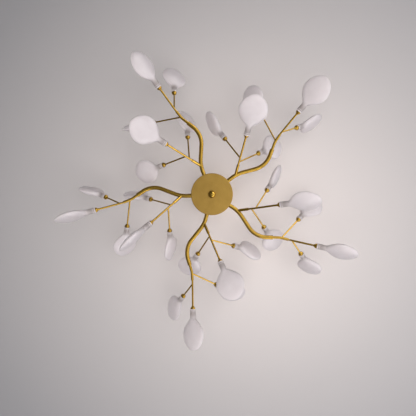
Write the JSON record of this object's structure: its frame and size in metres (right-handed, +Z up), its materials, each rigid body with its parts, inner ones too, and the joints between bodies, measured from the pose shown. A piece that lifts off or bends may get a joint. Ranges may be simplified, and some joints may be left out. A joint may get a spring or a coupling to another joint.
{
  "type": "branch chandelier",
  "caption": "Semi-flush chandelier: a round brass hub on a short rod carries S-curved forking arms whose twigs end in cups with white leaf shades that turn on their stems.",
  "frame": {"origin": "middle of the two mounting slots, on the ceiling plane that the bracket's feet and the canopy's rim lie against", "axes": "+Z up into the ceiling, +X along the bracket's slots and along arm a as it leaves the hub"},
  "size_m": [0.813, 0.8293, 0.3806],
  "materials": {
    "satin_brass": "satin, brushed",
    "opal_shade": "satin opal white",
    "zinc_steel": "zinc plated",
    "driver_case": "matt white",
    "terminal_case": "natural",
    "holder_body": "matt ceramic",
    "bulb_capsule": "frosted"
  },
  "bodies": {
    "fixture": {"canopy": "satin_brass", "canopy_collar": "satin_brass", "down_rod": "satin_brass", "hub_body": "satin_brass", "hub_cover": "satin_brass", "finial_ball": "satin_brass", "arm_tube_a": "satin_brass", "arm_tube_b": "satin_brass", "arm_tube_c": "satin_brass", "arm_tube_d": "satin_brass", "arm_tube_e": "satin_brass", "outer_branch_a": "satin_brass", "outer_branch_b": "satin_brass", "outer_branch_c": "satin_brass", "outer_branch_d": "satin_brass", "outer_branch_e": "satin_brass", "side_branch_a": "satin_brass", "side_branch_b": "satin_brass", "side_branch_c": "satin_brass", "side_branch_d": "satin_brass", "side_branch_e": "satin_brass", "socket_cups": "satin_brass", "ceiling_bracket": "zinc_steel", "rod_lock_nuts": "zinc_steel", "centre_stud": "zinc_steel", "arm_lock_nuts": "zinc_steel", "led_driver": "driver_case", "terminal_block": "terminal_case", "lamp_holders": "holder_body", "led_bulbs": "bulb_capsule"},
    "shade_a_tip": {"shade_a_tip": "opal_shade"},
    "shade_a_left": {"shade_a_left": "opal_shade"},
    "shade_a_right": {"shade_a_right": "opal_shade"},
    "shade_a_side_tip": {"shade_a_side_tip": "opal_shade"},
    "shade_a_side_left": {"shade_a_side_left": "opal_shade"},
    "shade_a_side_right": {"shade_a_side_right": "opal_shade"},
    "shade_b_tip": {"shade_b_tip": "opal_shade"},
    "shade_b_left": {"shade_b_left": "opal_shade"},
    "shade_b_right": {"shade_b_right": "opal_shade"},
    "shade_b_side_tip": {"shade_b_side_tip": "opal_shade"},
    "shade_b_side_left": {"shade_b_side_left": "opal_shade"},
    "shade_b_side_right": {"shade_b_side_right": "opal_shade"},
    "shade_c_tip": {"shade_c_tip": "opal_shade"},
    "shade_c_left": {"shade_c_left": "opal_shade"},
    "shade_c_right": {"shade_c_right": "opal_shade"},
    "shade_c_side_tip": {"shade_c_side_tip": "opal_shade"},
    "shade_c_side_left": {"shade_c_side_left": "opal_shade"},
    "shade_c_side_right": {"shade_c_side_right": "opal_shade"},
    "shade_d_tip": {"shade_d_tip": "opal_shade"},
    "shade_d_left": {"shade_d_left": "opal_shade"},
    "shade_d_right": {"shade_d_right": "opal_shade"},
    "shade_d_side_tip": {"shade_d_side_tip": "opal_shade"},
    "shade_d_side_left": {"shade_d_side_left": "opal_shade"},
    "shade_d_side_right": {"shade_d_side_right": "opal_shade"},
    "shade_e_tip": {"shade_e_tip": "opal_shade"},
    "shade_e_left": {"shade_e_left": "opal_shade"},
    "shade_e_right": {"shade_e_right": "opal_shade"},
    "shade_e_side_tip": {"shade_e_side_tip": "opal_shade"},
    "shade_e_side_left": {"shade_e_side_left": "opal_shade"},
    "shade_e_side_right": {"shade_e_side_right": "opal_shade"}
  },
  "joints": [
    {"name": "a_tip_turn", "type": "hinge", "parent": "fixture", "child": "shade_a_tip", "pos_m": [0.33, -0.03428, -0.25967], "axis": [0.8913, -0.3401, -0.2999], "range_deg": [-90, 90]},
    {"name": "a_left_turn", "type": "hinge", "parent": "fixture", "child": "shade_a_left", "pos_m": [0.26323, -0.07569, -0.18557], "axis": [0.2628, -0.809, 0.5258], "range_deg": [-90, 90]},
    {"name": "a_right_turn", "type": "hinge", "parent": "fixture", "child": "shade_a_right", "pos_m": [0.32087, 0.00888, -0.20336], "axis": [0.8016, 0.2863, 0.5249], "range_deg": [-90, 90]},
    {"name": "a_side_tip_turn", "type": "hinge", "parent": "fixture", "child": "shade_a_side_tip", "pos_m": [0.17216, -0.07481, -0.29788], "axis": [0.6508, -0.583, -0.4864], "range_deg": [-90, 90]},
    {"name": "a_side_left_turn", "type": "hinge", "parent": "fixture", "child": "shade_a_side_left", "pos_m": [0.13206, -0.09762, -0.20826], "axis": [0.0795, -0.7622, 0.6424], "range_deg": [-90, 90]},
    {"name": "a_side_right_turn", "type": "hinge", "parent": "fixture", "child": "shade_a_side_right", "pos_m": [0.18409, 0.00028, -0.20413], "axis": [0.7556, 0.2869, 0.5889], "range_deg": [-90, 90]},
    {"name": "b_tip_turn", "type": "hinge", "parent": "fixture", "child": "shade_b_tip", "pos_m": [0.12876, 0.30635, -0.26311], "axis": [0.5271, 0.7815, -0.3338], "range_deg": [-90, 90]},
    {"name": "b_left_turn", "type": "hinge", "parent": "fixture", "child": "shade_b_left", "pos_m": [0.15774, 0.22552, -0.19375], "axis": [0.8987, -0.0157, 0.4384], "range_deg": [-90, 90]},
    {"name": "b_right_turn", "type": "hinge", "parent": "fixture", "child": "shade_b_right", "pos_m": [0.09062, 0.30712, -0.2026], "axis": [-0.0146, 0.8338, 0.5519], "range_deg": [-90, 90]},
    {"name": "b_side_tip_turn", "type": "hinge", "parent": "fixture", "child": "shade_b_side_tip", "pos_m": [0.11761, 0.14281, -0.30535], "axis": [0.7042, 0.4555, -0.5446], "range_deg": [-90, 90]},
    {"name": "b_side_left_turn", "type": "hinge", "parent": "fixture", "child": "shade_b_side_left", "pos_m": [0.1357, 0.09476, -0.2186], "axis": [0.8094, -0.1794, 0.5592], "range_deg": [-90, 90]},
    {"name": "b_side_right_turn", "type": "hinge", "parent": "fixture", "child": "shade_b_side_right", "pos_m": [0.05959, 0.1742, -0.20426], "axis": [0.0206, 0.7877, 0.6157], "range_deg": [-90, 90]},
    {"name": "c_tip_turn", "type": "hinge", "parent": "fixture", "child": "shade_c_tip", "pos_m": [-0.25545, 0.21386, -0.26311], "axis": [-0.6308, 0.7005, -0.3338], "range_deg": [-90, 90]},
    {"name": "c_left_turn", "type": "hinge", "parent": "fixture", "child": "shade_c_left", "pos_m": [-0.16574, 0.21971, -0.19375], "axis": [0.2926, 0.8498, 0.4384], "range_deg": [-90, 90]},
    {"name": "c_right_turn", "type": "hinge", "parent": "fixture", "child": "shade_c_right", "pos_m": [-0.26542, 0.17705, -0.2026], "axis": [-0.8125, 0.1876, 0.5519], "range_deg": [-90, 90]},
    {"name": "c_side_tip_turn", "type": "hinge", "parent": "fixture", "child": "shade_c_side_tip", "pos_m": [-0.09948, 0.15598, -0.30535], "axis": [-0.2157, 0.8105, -0.5446], "range_deg": [-90, 90]},
    {"name": "c_side_left_turn", "type": "hinge", "parent": "fixture", "child": "shade_c_side_left", "pos_m": [-0.04819, 0.15834, -0.2186], "axis": [0.4208, 0.7143, 0.5592], "range_deg": [-90, 90]},
    {"name": "c_side_right_turn", "type": "hinge", "parent": "fixture", "child": "shade_c_side_right", "pos_m": [-0.14726, 0.1105, -0.20426], "axis": [-0.7428, 0.263, 0.6157], "range_deg": [-90, 90]},
    {"name": "d_tip_turn", "type": "hinge", "parent": "fixture", "child": "shade_d_tip", "pos_m": [-0.28363, -0.173, -0.26407], "axis": [-0.8789, -0.332, -0.3427], "range_deg": [-90, 90]},
    {"name": "d_left_turn", "type": "hinge", "parent": "fixture", "child": "shade_d_left", "pos_m": [-0.26097, -0.08864, -0.19658], "axis": [-0.7265, 0.5529, 0.4081], "range_deg": [-90, 90]},
    {"name": "d_right_turn", "type": "hinge", "parent": "fixture", "child": "shade_d_right", "pos_m": [-0.25448, -0.19431, -0.20232], "axis": [-0.4897, -0.6674, 0.5611], "range_deg": [-90, 90]},
    {"name": "d_side_tip_turn", "type": "hinge", "parent": "fixture", "child": "shade_d_side_tip", "pos_m": [-0.1776, -0.04846, -0.30767], "axis": [-0.8261, 0.0297, -0.5628], "range_deg": [-90, 90]},
    {"name": "d_side_left_turn", "type": "hinge", "parent": "fixture", "child": "shade_d_side_left", "pos_m": [-0.16576, 0.00349, -0.22209], "axis": [-0.5605, 0.6363, 0.5301], "range_deg": [-90, 90]},
    {"name": "d_side_right_turn", "type": "hinge", "parent": "fixture", "child": "shade_d_side_right", "pos_m": [-0.15121, -0.10507, -0.20438], "axis": [-0.4924, -0.6077, 0.6231], "range_deg": [-90, 90]},
    {"name": "e_tip_turn", "type": "hinge", "parent": "fixture", "child": "shade_e_tip", "pos_m": [0.08168, -0.32265, -0.26473], "axis": [0.1048, -0.9317, -0.3478], "range_deg": [-90, 90]},
    {"name": "e_left_turn", "type": "hinge", "parent": "fixture", "child": "shade_e_left", "pos_m": [0.00246, -0.27598, -0.19945], "axis": [-0.7633, -0.5243, 0.3773], "range_deg": [-90, 90]},
    {"name": "e_right_turn", "type": "hinge", "parent": "fixture", "child": "shade_e_right", "pos_m": [0.10771, -0.30057, -0.20186], "axis": [0.4987, -0.6509, 0.5724], "range_deg": [-90, 90]},
    {"name": "e_side_tip_turn", "type": "hinge", "parent": "fixture", "child": "shade_e_side_tip", "pos_m": [-0.00631, -0.18307, -0.3099], "axis": [-0.2646, -0.7703, -0.5802], "range_deg": [-90, 90]},
    {"name": "e_side_left_turn", "type": "hinge", "parent": "fixture", "child": "shade_e_side_left", "pos_m": [-0.05488, -0.15668, -0.2256], "axis": [-0.7955, -0.342, 0.5003], "range_deg": [-90, 90]},
    {"name": "e_side_right_turn", "type": "hinge", "parent": "fixture", "child": "shade_e_side_right", "pos_m": [0.05222, -0.17659, -0.20453], "axis": [0.405, -0.6629, 0.6298], "range_deg": [-90, 90]}
  ]
}
